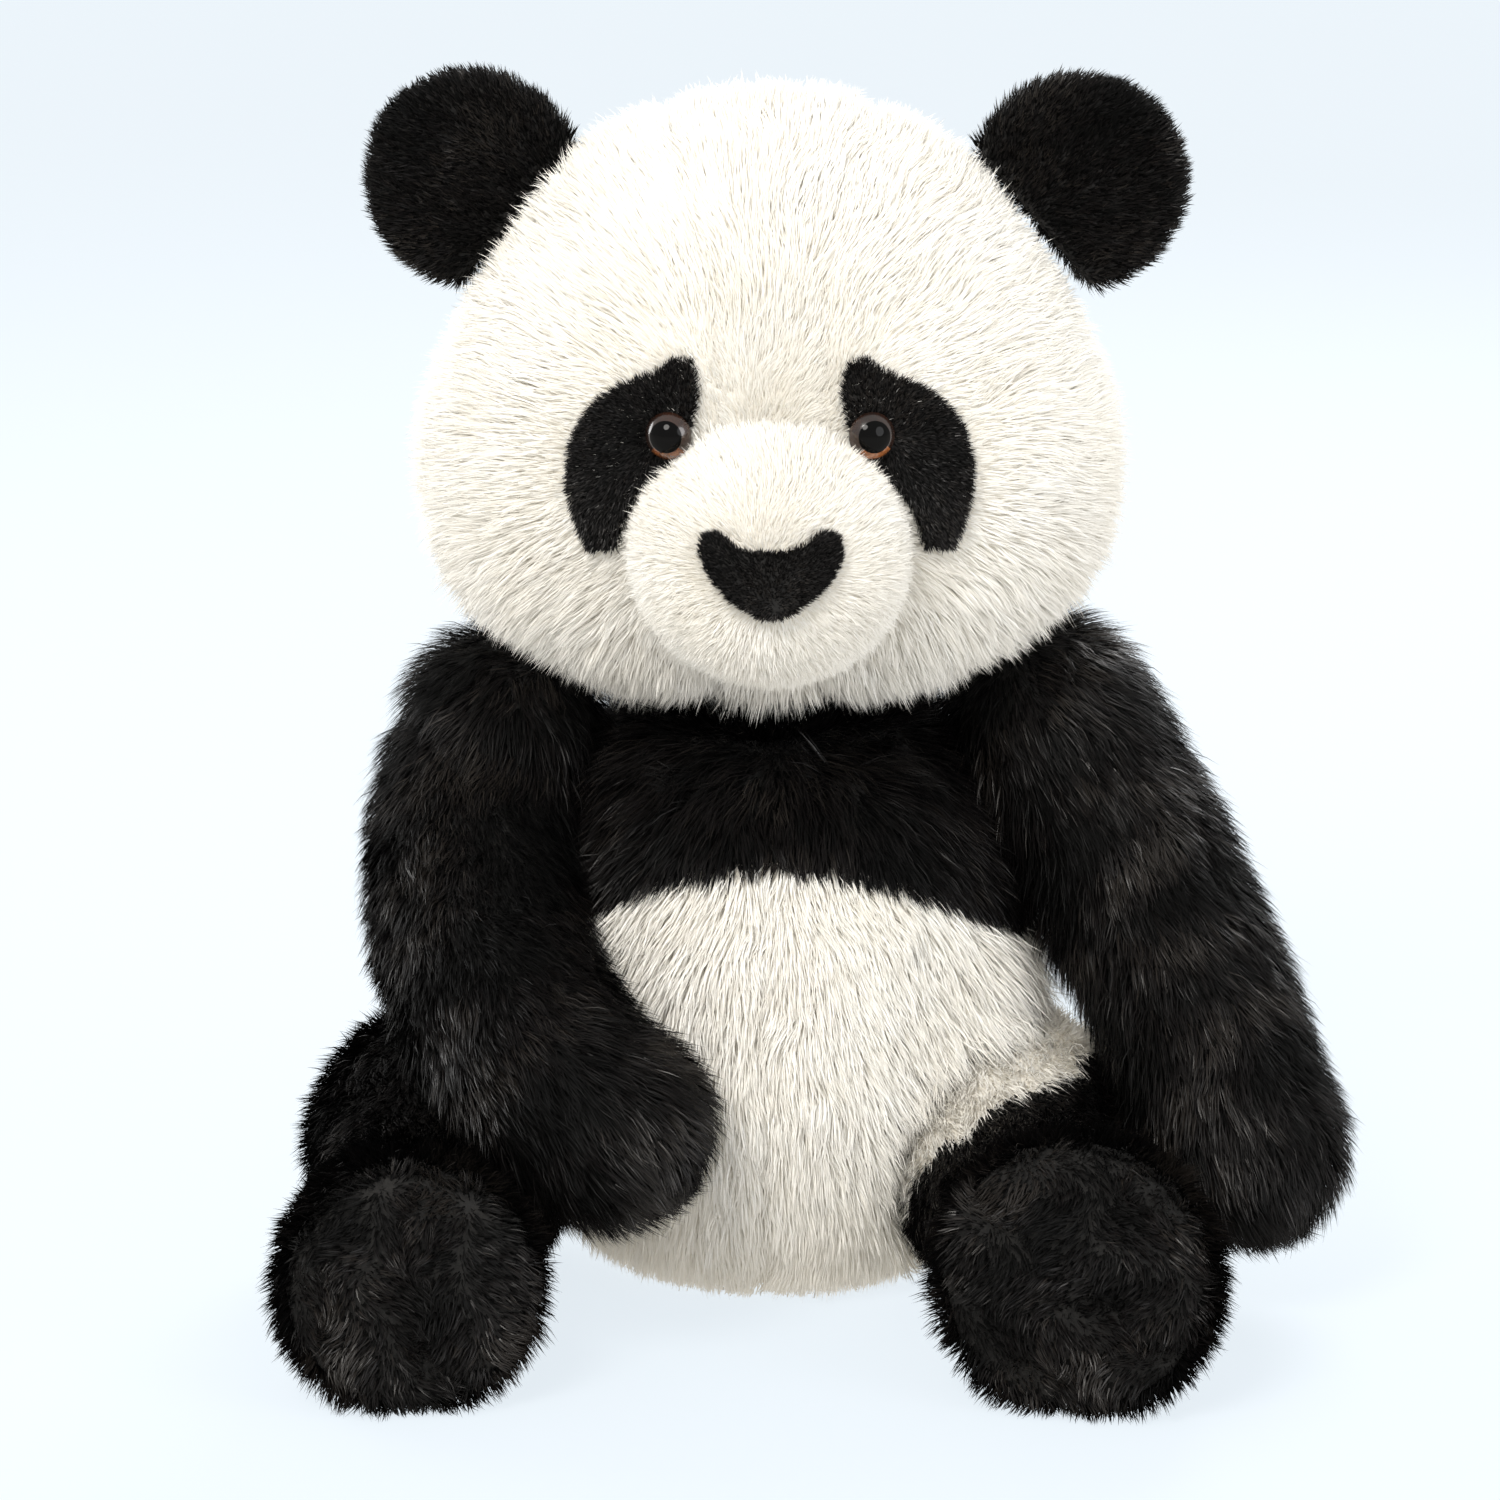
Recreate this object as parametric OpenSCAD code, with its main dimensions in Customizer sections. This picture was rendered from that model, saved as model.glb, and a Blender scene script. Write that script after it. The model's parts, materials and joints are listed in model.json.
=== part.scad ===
// Seated plush panda, in millimetres.
// It faces -Y with +Z up, and its own left side is +X.
// The origin is the centre of the flat seat face that it rests on.

/* [Head] */
// Width of the head across the cheeks
head_w = 174; // [170:1:178]
// Depth of the head from brow to nape
head_d = 144; // [140:1:150]
// Height of the head from chin to crown
head_h = 156; // [152:1:158]
// Height of the head's centre above the seat
head_z = 236; // [235:1:240]
// Place of the head's centre, forward of the seat's centre
head_forward = 10; // [6:1:12]
// How much wider the cheeks are than the crown
cheek_taper = 0.24; // [0.20:0.01:0.26]
// How much the crown is filled out
crown_fill = 0.8; // [0.5:0.1:0.9]

/* [Face] */
// Radius of the muzzle
muzzle_r = 35; // [33:1:36]
// Drop of the muzzle's centre below the head's centre
muzzle_drop = 29; // [27:1:30]
// Reach of the muzzle's tip in front of the head's centre
muzzle_reach = 101; // [98:1:104]
// Diameter of each safety eye
eye_d = 12; // [11:0.5:13]
// Distance of each eye from the middle of the face
eye_x = 24.5; // [24:0.5:25.5]
// Height of the eyes above the head's centre
eye_rise = 3; // [2:1:4]

/* [Ears] */
// Diameter of each round ear
ear_d = 56; // [50:1:58]
// Thickness of an ear's two layers together
ear_t = 12; // [10:1:13]
// Lean of each ear away from upright, in degrees
ear_lean = 49; // [47:1:51]

/* [Torso] */
// Half width of the belly on the panda's left
belly_left = 72; // [70:1:74]
// Half width of the belly on the panda's right, where the arm lies on it
belly_right = 64; // [62:1:66]
// Reach of the belly in front of the seat's centre
belly_front = 70; // [68:1:72]
// Reach of the back behind the seat's centre
back_reach = 62; // [60:1:66]
// Height of the widest part of the belly
belly_z = 66; // [64:1:68]
// Height of the top of the torso
torso_top = 158; // [155:1:159]
// Height where the black shoulder band begins, at the front
band_z = 124; // [120:1:128]

/* [Limbs] */
// Radius of each arm at the shoulder
shoulder_r = 26; // [24:1:27]
// Radius of each arm at the paw
paw_r = 25; // [23:1:26]
// Radius of each leg at the hip
haunch_r = 35; // [33:1:35]
// Radius of the left foot, which is splayed towards the viewer
foot_left_r = 35; // [33:1:36]
// Radius of the right foot
foot_right_r = 32; // [30:1:33]

/* [Cloth] */
// Thickness of the long plush cloth, pile and backing together
plush_t = 8; // [6:0.5:9]
// Thickness of the short plush cloth
short_t = 3; // [2:0.5:4]

/* [Hidden] */

gap = 0.4;
filling_gap = 1.6;
head_mid = [0, -head_forward, head_z];
round_fn = 64;

white_plush = [0.96, 0.94, 0.89];
black_plush = [0.07, 0.07, 0.06];
filling = [0.93, 0.93, 0.92];
lining = [0.80, 0.78, 0.74];

// The ball of stuffing that the head turns and nods on.
neck_r = 27;
neck_at = [0, -6, 168];

// The torso narrows from the belly to the seat and to the shoulders.
seat_reach = 78;
seat_power = 2.4;
chest_power = 2.5;
shoulder_reach = torso_top - belly_z;

// Each limb follows a curve through four points, from its joint to its end.
arm_left_path = [[74, -8, 150], [94, -10, 120], [108, -34, 90], [125, -52, 45]];
arm_right_path = [[-71, -8, 147], [-84, -12, 112], [-82, -84, 92], [-42, -92, 63]];
leg_left_path = [[63, -24, 37], [62, -62, 34], [82, -104, 31], [76, -130, 35]];
leg_right_path = [[-86, -26, 37], [-88, -60, 34], [-94, -96, 30], [-90, -130, 32]];
elbow_r = 26;
socket_room = 4;
arm_presses = [0.14, 0.22, 0.3]; // how far along each arm the torso gives way to it
leg_press = 0.24; // and along each leg
ankle_r = 25;
sole_bulge = 9;
sole_edge = 24; // degrees into the foot's end where the sole begins

// ---- Numbers and points ----

function mix(a, b, t) = a + (b - a) * t;
function smooth(t) = t * t * (3 - 2 * t);
function between(low, t, high) = max(low, min(high, t));
function unit(v) = v / norm(v);
function steps(from, to, count) = [for (i = [0:count]) mix(from, to, i / count)];
function curve(p, t) =
    pow(1 - t, 3) * p[0] + 3 * t * pow(1 - t, 2) * p[1]
    + 3 * t * t * (1 - t) * p[2] + pow(t, 3) * p[3];
function heading(p, t) = unit(
    pow(1 - t, 2) * (p[1] - p[0]) + 2 * t * (1 - t) * (p[2] - p[1]) + t * t * (p[3] - p[2])
);
function joined(rows) = [for (row = rows) for (p = row) p];
function centre_of(ring, i = 0) =
    i == len(ring) ? [0, 0, 0] : ring[i] / len(ring) + centre_of(ring, i + 1);

// ---- Closed shapes from rows of points ----

// A cloth panel: a grid of points on the outside and the same grid on the inside.
module panel(outer, inner) {
    rows = len(outer);
    cols = len(outer[0]);
    all = rows * cols;
    function at(i, j) = i * cols + j;
    skin = [for (i = [0:rows - 2]) for (j = [0:cols - 2]) each [
        [at(i, j), at(i, j + 1), at(i + 1, j + 1)],
        [at(i, j), at(i + 1, j + 1), at(i + 1, j)]
    ]];
    back = [for (f = skin) [f[2] + all, f[1] + all, f[0] + all]];
    edge = concat(
        [for (j = [0:cols - 2]) at(0, j)],
        [for (i = [0:rows - 2]) at(i, cols - 1)],
        [for (j = [cols - 1:-1:1]) at(rows - 1, j)],
        [for (i = [rows - 1:-1:1]) at(i, 0)]
    );
    // Opposite rims are split the opposite way, so that neighbouring panels meet without a gap.
    rim = [for (k = [0:len(edge) - 1])
        let (a = edge[k], b = edge[(k + 1) % len(edge)])
        each k < rows + cols - 2
            ? [[a, a + all, b + all], [a, b + all, b]]
            : [[a, a + all, b], [a + all, b + all, b]]
    ];
    polyhedron(concat(joined(outer), joined(inner)), concat(skin, back, rim), convexity = 6);
}

// A closed form through a row of rings, with a point in the middle of each end.
module closed_form(rings) {
    rows = len(rings);
    cols = len(rings[0]);
    first = rows * cols;
    function at(i, j) = i * cols + j % cols;
    side = [for (i = [0:rows - 2]) for (j = [0:cols - 1]) each [
        [at(i, j), at(i, j + 1), at(i + 1, j + 1)],
        [at(i, j), at(i + 1, j + 1), at(i + 1, j)]
    ]];
    ends = [for (j = [0:cols - 1]) each [
        [first, at(0, j + 1), at(0, j)],
        [first + 1, at(rows - 1, j), at(rows - 1, j + 1)]
    ]];
    tips = [centre_of(rings[0]), centre_of(rings[rows - 1])];
    polyhedron(concat(joined(rings), tips), concat(side, ends), convexity = 6);
}

// ---- The head's surface ----

// How much wider the head is at a height t, from the chin (-1) to the crown (1).
function head_spread(t) = 1 - cheek_taper * t + crown_fill * pow(max(0, t - 0.4), 2);

// turn goes round from the brow (0) over the crown (90) to the nape (180).
// side goes from the middle of the head (0) out to the left or right cheek.
function head_point(turn, side, inset) =
    let (c = head_h / 2 - inset, rise = c * cos(side) * sin(turn))
    head_mid + [
        (head_w / 2 - inset) * sin(side) * head_spread(rise / c),
        -(head_d / 2 - inset) * cos(side) * cos(turn),
        rise
    ];

// The face's Y at a distance x from the middle and a rise above the head's centre.
function face_y(x, rise, inset) =
    let (
        c = head_h / 2 - inset,
        a = (head_w / 2 - inset) * head_spread(rise / c)
    )
    head_mid[1] - (head_d / 2 - inset) * sqrt(1 - pow(x / a, 2) - pow(rise / c, 2));

// The gusset is narrow at the bridge and widens over the crown.
function gusset_edge(turn) = 8 + 8 * smooth(between(0, turn / 80, 1));

// A piece of the head is either a strip of the gusset or a left cheek panel.
module head_piece(turn_from, turn_to, cheek) {
    function sides(turn) = cheek
        ? steps(89, gusset_edge(turn), 9)
        : steps(gusset_edge(turn), -gusset_edge(turn), 4);
    function grid(inset) = [for (turn = [turn_from:8:turn_to]) [
        for (side = sides(turn)) head_point(turn, side, inset)
    ]];
    color(white_plush)
    difference() {
        panel(grid(0), grid(plush_t));
        neck_socket();
        children();
    }
}

module neck_socket() {
    translate(neck_at) sphere(neck_r + gap, $fn = round_fn);
}

muzzle_lip = 6; // how far the face cloth reaches in under the muzzle's edge

module muzzle_hole() {
    translate([0, head_mid[1], head_z - muzzle_drop])
    rotate([90, 0, 0]) cylinder(h = head_d, r = muzzle_r - muzzle_lip, $fn = round_fn);
}

chin_turn = -88;
muzzle_turn = -8;
ear_turn = 96;
nape_turn = 264;

module head_gusset() head_piece(muzzle_turn, nape_turn, false) muzzle_hole();
module chin_gusset() head_piece(chin_turn, muzzle_turn, false) muzzle_hole();
module face_left() head_piece(chin_turn, ear_turn, true) {
    muzzle_hole();
    eye_way();
}
module face_right() mirror([1, 0, 0]) face_left();
module head_back_left() head_piece(ear_turn, nape_turn, true);
module head_back_right() mirror([1, 0, 0]) head_back_left();

module head_stuffing() {
    turns = 36;
    inset = plush_t + gap;
    color(filling)
    difference() {
        closed_form([for (side = steps(-86, 86, 16)) [
            for (k = [0:turns - 1]) head_point(k * 360 / turns, side, inset)
        ]]);
        neck_socket();
        eye_room(1);
        eye_room(-1);
    }
}

// ---- Muzzle, nose and eyes ----

// lift goes from the muzzle's edge on the face (0) to its tip (90).
function muzzle_point(lift, around, inset) =
    let (
        r = (muzzle_r - inset) * cos(lift),
        x = r * sin(around),
        rise = r * cos(around) - muzzle_drop,
        foot = face_y(x, rise, 0) - gap,
        tip = head_mid[1] - muzzle_reach + inset
    )
    [x, mix(foot, tip, sin(lift)), head_z + rise];

function muzzle_ring(lift, inset) = [for (k = [0:31]) muzzle_point(lift, k * 360 / 32, inset)];

module muzzle_cover() {
    lifts = steps(0, 84, 8);
    color(white_plush)
    closed_form(concat(
        [for (k = [8:-1:0]) muzzle_ring(lifts[k], short_t)],
        [for (lift = lifts) muzzle_ring(lift, 0)]
    ));
}

module muzzle_stuffing() {
    inset = short_t + gap;
    plug_r = muzzle_r - muzzle_lip - gap;
    function plug(r, face_inset) = [for (k = [0:31]) let (
        x = r * sin(k * 360 / 32),
        rise = r * cos(k * 360 / 32) - muzzle_drop
    ) [x, face_y(x, rise, face_inset) - 2 * gap, head_z + rise]];
    color(filling)
    closed_form(concat(
        [for (share = [0.1, 0.5, 0.8, 1]) plug(plug_r * share, plush_t)],
        [plug(plug_r, 0)],
        [for (lift = steps(12, 84, 7)) muzzle_ring(lift, inset)]
    ));
}

// The nose is short plush, broad at the top with a dip between two rounded lobes.
nose_w = 36;
nose_h = 21.5;
nose_top = 13; // above the muzzle's centre

function muzzle_y(x, rise, proud) =
    let (
        r = norm([x, rise + muzzle_drop]),
        foot = face_y(x, rise, 0) - gap,
        tip = head_mid[1] - muzzle_reach
    )
    mix(foot, tip, sqrt(1 - pow(r / muzzle_r, 2))) - proud;

module nose_patch() {
    rows = 8;
    cols = 8;
    function half(v) = nose_w / 2 * pow(1 - pow(v, 1.9), 0.64) * (0.92 + 0.1 * min(1, v * 4));
    function top_dip(u) = u > 0.75 ? 6 * (u - 0.75) : 4.6 * pow(cos(90 * pow(u / 0.75, 1.6)), 0.8);
    function grid(proud) = [for (v = steps(0, 0.97, rows)) [for (u = steps(-1, 1, cols))
        let (
            x = u * half(v),
            dip = top_dip(abs(u)) * (1 - v),
            rise = nose_top - muzzle_drop - dip - v * (nose_h - dip)
        )
        [x, muzzle_y(x, rise, proud), head_z + rise]
    ]];
    color(black_plush) panel(grid(short_t), grid(gap));
}

// An eye patch is a drooping bean, narrow at the brow.
patch_path = [[22, 21], [25, 1], [46, 8], [42.5, -28]];

function patch_half(t) = 12 * pow(sin(180 * mix(0.05, 0.93, t)), 0.75) * mix(0.9, 1, t);

module eye_patch(side) {
    function grid(proud) = [for (t = steps(0, 1, 12)) [for (u = steps(-1, 1, 6))
        let (
            mid = curve(patch_path, t),
            along = heading(patch_path, t),
            p = mid + u * patch_half(t) * [-along[1], along[0]]
        )
        [p[0], face_y(p[0], p[1], -proud), head_z + p[1]]
    ]];
    color(black_plush)
    mirror([side < 0 ? 1 : 0, 0, 0])
    difference() {
        panel(grid(short_t), grid(gap));
        eye_way();
    }
}

module eye_patch_left() eye_patch(1);
module eye_patch_right() eye_patch(-1);

// Everything on an eye's axis is drawn with the skin's surface at Z = 0 and outward +Z.
module on_eye_axis(side) {
    x = eye_x;
    y = face_y(eye_x, eye_rise, 0) - head_mid[1];
    normal = unit([x / pow(head_w / 2, 2), y / pow(head_d / 2, 2), eye_rise / pow(head_h / 2, 2)]);
    mirror([side < 0 ? 1 : 0, 0, 0])
    translate(head_mid + [x, y, eye_rise])
    rotate([0, acos(normal[2]), atan2(normal[1], normal[0])]) children();
}

stem_r = 1.8;
washer_r = 7;
washer_t = 1.2;
washer_z = -plush_t - gap - 1.6;

// The hole for the left eye's stem.
module eye_way() {
    on_eye_axis(1) translate([0, 0, -20]) cylinder(h = 30, r = stem_r + gap, $fn = 32);
}

// The space in the stuffing for an eye's washer and the stem's end.
module eye_room(side) {
    on_eye_axis(side) translate([0, 0, washer_z - 4.5]) cylinder(h = 20, r = washer_r + gap, $fn = 48);
}

module eye(side) {
    dome_z = short_t + gap;
    color([0.16, 0.08, 0.04])
    on_eye_axis(side) {
        translate([0, 0, dome_z]) rotate_extrude($fn = 48) intersection() {
            translate([0, -eye_d * 0.2]) circle(d = eye_d * 1.08, $fn = 64);
            square([eye_d / 2, eye_d]);
        }
        translate([0, 0, washer_z - 3.5]) cylinder(h = dome_z - washer_z + 3.6, r = stem_r, $fn = 32);
    }
}

module eye_left() eye(1);
module eye_right() eye(-1);

module eye_washer(side) {
    color("white")
    on_eye_axis(side) translate([0, 0, washer_z])
    difference() {
        cylinder(h = washer_t, r = washer_r, $fn = 48);
        translate([0, 0, -1]) cylinder(h = washer_t + 2, r = stem_r + 0.05, $fn = 32);
    }
}

module eye_washer_left() eye_washer(1);
module eye_washer_right() eye_washer(-1);

// ---- Ears ----

// An ear is drawn with the middle of its base at the origin, rising along +Z.
ear_root_left = [68.5, 2, 46];
ear_root_right = [-65, 2, 47];
ear_cut = 15;

module ear_layer(root, lean, front) {
    color(black_plush)
    translate(head_mid + root) rotate([0, lean, 0])
    difference() {
        translate([0, 0, ear_cut]) rotate([front ? 90 : -90, 0, 0]) rotate_extrude($fn = round_fn) {
            translate([0, 0.05]) square([ear_d / 2 - ear_t / 2, ear_t / 2 - 0.05]);
            intersection() {
                translate([ear_d / 2 - ear_t / 2, 0]) circle(r = ear_t / 2, $fn = 48);
                translate([0, 0.05]) square([ear_d / 2, ear_t / 2]);
            }
        }
        translate([-ear_d, -ear_d, -ear_d]) cube([2 * ear_d, 2 * ear_d, ear_d]);
    }
}

module ear_front_left() ear_layer(ear_root_left, ear_lean, true);
module ear_back_left() ear_layer(ear_root_left, ear_lean, false);
module ear_front_right() ear_layer(ear_root_right, -ear_lean, true);
module ear_back_right() ear_layer(ear_root_right, -ear_lean, false);

module neck_stuffing() {
    color(filling) translate(neck_at) sphere(neck_r, $fn = round_fn);
}

// ---- The torso's surface ----

// How wide the torso is at a height z, as a share of its widest. An inset skin is smaller.
function swell(z, inset) = z < belly_z
    ? pow(1 - pow((belly_z - z) / (seat_reach - inset * 0.6), seat_power), 1 / seat_power)
    : pow(max(0, 1 - pow((z - belly_z) / (shoulder_reach - inset), chest_power)), 1 / chest_power);

// around goes from the middle of the belly (0) to the panda's left (90) and back (180).
function torso_point(z, around, inset) = [
    ((sin(around) > 0 ? belly_left : belly_right) - inset) * swell(z, inset) * sin(around),
    -((cos(around) > 0 ? belly_front : back_reach) - inset) * swell(z, inset) * cos(around),
    z
];

// The black band is lower at the sides than at the middle of the belly.
band_droop = 30;

function band_edge(around) = band_z - band_droop * pow(sin(around), 2);

module torso_cut() {
    neck_socket();
    for (path = [arm_left_path, arm_right_path]) {
        translate(path[0]) sphere(shoulder_r + socket_room, $fn = round_fn);
        for (t = arm_presses) {
            translate(curve(path, t)) sphere(limb_r(arm_radii, t) + socket_room, $fn = round_fn);
        }
    }
    for (path = [leg_left_path, leg_right_path]) {
        translate(path[0]) sphere(haunch_r + socket_room, $fn = round_fn);
        for (lift = [0, 8, 16]) {
            translate(path[0]) rotate([-lift, 0, 0]) translate(curve(path, leg_press) - path[0])
            sphere(limb_r(leg_left_radii, leg_press) + socket_room, $fn = round_fn);
        }
    }
}

module torso_piece(around_from, around_to, cols, band) {
    top = torso_top - plush_t - gap;
    function height(around, v) = band
        ? mix(band_edge(around), top, sin(90 * v))
        : mix(0, band_edge(around), v);
    function grid(inset) = [for (v = steps(0, 1, 10)) [for (around = steps(around_to, around_from, cols))
        torso_point(height(around, v), around, inset)
    ]];
    color(band ? black_plush : white_plush)
    difference() {
        panel(grid(0), grid(plush_t));
        torso_cut();
    }
}

module chest_band_left() torso_piece(0, 90, 8, true);
module chest_band_right() torso_piece(-90, 0, 8, true);
module back_band_left() torso_piece(90, 180, 8, true);
module back_band_right() torso_piece(180, 270, 8, true);
module belly_panel_left() torso_piece(0, 90, 8, false);
module belly_panel_right() torso_piece(-90, 0, 8, false);
module back_panel_left() torso_piece(90, 180, 8, false);
module back_panel_right() torso_piece(180, 270, 8, false);

seat_t = 4;
bag_top = 34;

module seat_panel() {
    color(white_plush)
    difference() {
        linear_extrude(seat_t) polygon([for (around = [5:10:355])
            let (p = torso_point(0, around, plush_t + gap)) [p[0], p[1]]
        ]);
        torso_cut();
    }
}

module torso_filling(low, high, rows) {
    difference() {
        closed_form([for (z = steps(low, high, rows)) [for (around = [350:-10:0])
            torso_point(z, around, plush_t + filling_gap)
        ]]);
        torso_cut();
    }
}

module seat_pellet_bag() color(lining) torso_filling(seat_t + gap, bag_top, 4);
module torso_stuffing() color(filling) torso_filling(bag_top + gap, torso_top - plush_t - 3, 10);

tail_z = 40;
tail_r = 15;

module tail() {
    color(white_plush)
    translate([0, back_reach + gap, tail_z])
    rotate([-90, 0, 0]) rotate_extrude($fn = round_fn) intersection() {
        translate([0, tail_r * 0.6]) circle(tail_r, $fn = round_fn);
        square([tail_r, 2 * tail_r]);
    }
}

module closing_stitches() {
    color([0.9, 0.88, 0.82])
    for (z = [70:5:105]) {
        translate([-2.5, torso_point(z, 180, 0)[1] + 1, z])
        rotate([0, 90, 0]) cylinder(h = 5, r = 0.5, $fn = 16);
    }
}

// ---- Limbs ----

// A limb's station is its middle, the way it heads and its radius there.
function limb_r(radii, t) = t < 0.5
    ? mix(radii[0], radii[1], smooth(2 * t))
    : mix(radii[1], radii[2], smooth(2 * t - 1));

function stations(path, radii, bulge, inset, from, to, count) = concat(
    from > 0 ? [] : [for (lift = [86, 60, 40, 20])
        let (r = radii[0] - inset, way = heading(path, 0))
        [path[0] - way * r * sin(lift), way, r * cos(lift)]
    ],
    [for (t = steps(max(from, 0), min(to, 1), count))
        [curve(path, t), heading(path, t), limb_r(radii, t) - inset]
    ],
    to < 1 ? [] : [for (lift = [sole_edge, 42, 62, 86])
        let (way = heading(path, 1))
        [path[3] + way * (bulge - inset) * sin(lift), way, (radii[2] - inset) * cos(lift)]
    ]
);

function limb_ring_point(station, angle) =
    let (across = unit(cross(station[1], [0, 0, 1])), up = cross(across, station[1]))
    station[0] + station[2] * (cos(angle) * up + sin(angle) * across);

function limb_rows(list, angle_from, angle_to, cols) = [for (s = list) [
    for (angle = steps(angle_to, angle_from, cols)) limb_ring_point(s, angle)
]];

function limb_rings(list) = [for (s = list) [for (angle = [342:-18:0]) limb_ring_point(s, angle)]];

module limb_half(path, radii, bulge, angle_from, angle_to) {
    color(black_plush)
    panel(
        limb_rows(stations(path, radii, bulge, 0, 0, 1, 10), angle_from, angle_to, 8),
        limb_rows(stations(path, radii, bulge, plush_t, 0, 1, 10), angle_from, angle_to, 8)
    );
}

arm_radii = [shoulder_r, elbow_r, paw_r];
bag_from_arm = 0.8; // how far along the arm its pellet bag begins

module arm_filling(path, from, to, count) {
    closed_form(limb_rings(stations(path, arm_radii, paw_r, plush_t + filling_gap, from, to, count)));
}

module arm_outer_left() limb_half(arm_left_path, arm_radii, paw_r, 180, 360);
module arm_inner_left() limb_half(arm_left_path, arm_radii, paw_r, 0, 180);
module arm_outer_right() limb_half(arm_right_path, arm_radii, paw_r, 0, 180);
module arm_inner_right() limb_half(arm_right_path, arm_radii, paw_r, 180, 360);
module arm_stuffing_left() color(filling) arm_filling(arm_left_path, 0, bag_from_arm - 0.01, 8);
module arm_stuffing_right() color(filling) arm_filling(arm_right_path, 0, bag_from_arm - 0.01, 8);
module paw_pellet_bag_left() color(lining) arm_filling(arm_left_path, bag_from_arm, 1, 3);
module paw_pellet_bag_right() color(lining) arm_filling(arm_right_path, bag_from_arm, 1, 3);

leg_left_radii = [haunch_r, ankle_r, foot_left_r];
leg_right_radii = [haunch_r, ankle_r, foot_right_r];
bag_from_leg = 0.75;

// The leg's cloth stops at the sole's seam, just short of the path's end.
sole_seam = 0.999;

module leg_half(path, radii, angle_from, angle_to) {
    function rows(inset) = limb_rows(
        stations(path, radii, sole_bulge, inset, 0, sole_seam, 10), angle_from, angle_to, 8
    );
    color(black_plush) panel(rows(0), rows(plush_t));
}

module leg_filling(path, radii, from, to, count) {
    closed_form(limb_rings(stations(path, radii, sole_bulge, plush_t + filling_gap, from, to, count)));
}

module sole(path, foot_r) {
    function end_ring(lift, inset) = let (way = heading(path, 1))
        [path[3] + way * (gap + (sole_bulge - inset) * sin(lift)), way, foot_r * cos(lift)];
    lifts = [4, 24, 42, 62, 86];
    color(black_plush)
    closed_form(limb_rings(concat(
        [for (k = [4:-1:0]) end_ring(lifts[k], short_t)],
        [for (lift = lifts) end_ring(lift, 0)]
    )));
}

module leg_outer_left() leg_half(leg_left_path, leg_left_radii, 180, 360);
module leg_inner_left() leg_half(leg_left_path, leg_left_radii, 0, 180);
module leg_outer_right() leg_half(leg_right_path, leg_right_radii, 0, 180);
module leg_inner_right() leg_half(leg_right_path, leg_right_radii, 180, 360);
module leg_stuffing_left() color(filling) leg_filling(leg_left_path, leg_left_radii, 0, bag_from_leg - 0.01, 8);
module leg_stuffing_right() color(filling) leg_filling(leg_right_path, leg_right_radii, 0, bag_from_leg - 0.01, 8);
module foot_pellet_bag_left() color(lining) leg_filling(leg_left_path, leg_left_radii, bag_from_leg, sole_seam, 3);
module foot_pellet_bag_right() color(lining) leg_filling(leg_right_path, leg_right_radii, bag_from_leg, sole_seam, 3);
module sole_left() sole(leg_left_path, foot_left_r);
module sole_right() sole(leg_right_path, foot_right_r);

head_gusset();
chin_gusset();
face_left();
face_right();
head_back_left();
head_back_right();
head_stuffing();
muzzle_cover();
muzzle_stuffing();
nose_patch();
eye_patch_left();
eye_patch_right();
eye_left();
eye_right();
eye_washer_left();
eye_washer_right();
ear_front_left();
ear_back_left();
ear_front_right();
ear_back_right();
neck_stuffing();
chest_band_left();
chest_band_right();
back_band_left();
back_band_right();
belly_panel_left();
belly_panel_right();
back_panel_left();
back_panel_right();
seat_panel();
tail();
torso_stuffing();
seat_pellet_bag();
closing_stitches();
arm_outer_left();
arm_inner_left();
arm_stuffing_left();
paw_pellet_bag_left();
arm_outer_right();
arm_inner_right();
arm_stuffing_right();
paw_pellet_bag_right();
leg_outer_left();
leg_inner_left();
sole_left();
leg_stuffing_left();
foot_pellet_bag_left();
leg_outer_right();
leg_inner_right();
sole_right();
leg_stuffing_right();
foot_pellet_bag_right();
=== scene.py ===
import json
import math

import bmesh
import bpy
import numpy as np
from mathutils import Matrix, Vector, noise
from mathutils.bvhtree import BVHTree
from mathutils.kdtree import KDTree

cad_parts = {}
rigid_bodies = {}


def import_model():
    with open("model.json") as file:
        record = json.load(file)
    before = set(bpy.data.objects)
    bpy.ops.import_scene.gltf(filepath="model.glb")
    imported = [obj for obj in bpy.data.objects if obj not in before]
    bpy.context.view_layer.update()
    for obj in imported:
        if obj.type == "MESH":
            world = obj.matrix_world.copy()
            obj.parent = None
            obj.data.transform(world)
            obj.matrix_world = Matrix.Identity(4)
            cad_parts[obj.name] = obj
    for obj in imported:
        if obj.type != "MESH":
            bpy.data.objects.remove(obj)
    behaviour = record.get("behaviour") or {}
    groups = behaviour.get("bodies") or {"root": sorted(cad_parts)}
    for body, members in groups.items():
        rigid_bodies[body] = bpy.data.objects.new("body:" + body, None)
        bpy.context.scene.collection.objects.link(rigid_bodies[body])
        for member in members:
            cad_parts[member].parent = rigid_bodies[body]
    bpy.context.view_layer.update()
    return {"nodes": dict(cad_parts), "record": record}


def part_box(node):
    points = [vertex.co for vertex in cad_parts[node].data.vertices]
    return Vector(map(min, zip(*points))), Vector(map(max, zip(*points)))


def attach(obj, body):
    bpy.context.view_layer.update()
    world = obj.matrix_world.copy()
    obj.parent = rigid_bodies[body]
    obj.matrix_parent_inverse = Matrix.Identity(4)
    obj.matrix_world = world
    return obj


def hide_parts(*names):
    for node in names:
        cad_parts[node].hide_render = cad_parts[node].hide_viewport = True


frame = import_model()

# A seated plush panda: sewn cloth panels over filling, with a pile of separate tufts on every panel.

NODES = frame["nodes"]
MM = 0.001
FLOOR_GAP = 0.4 * MM


# ---- Small vector helpers ----

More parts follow.
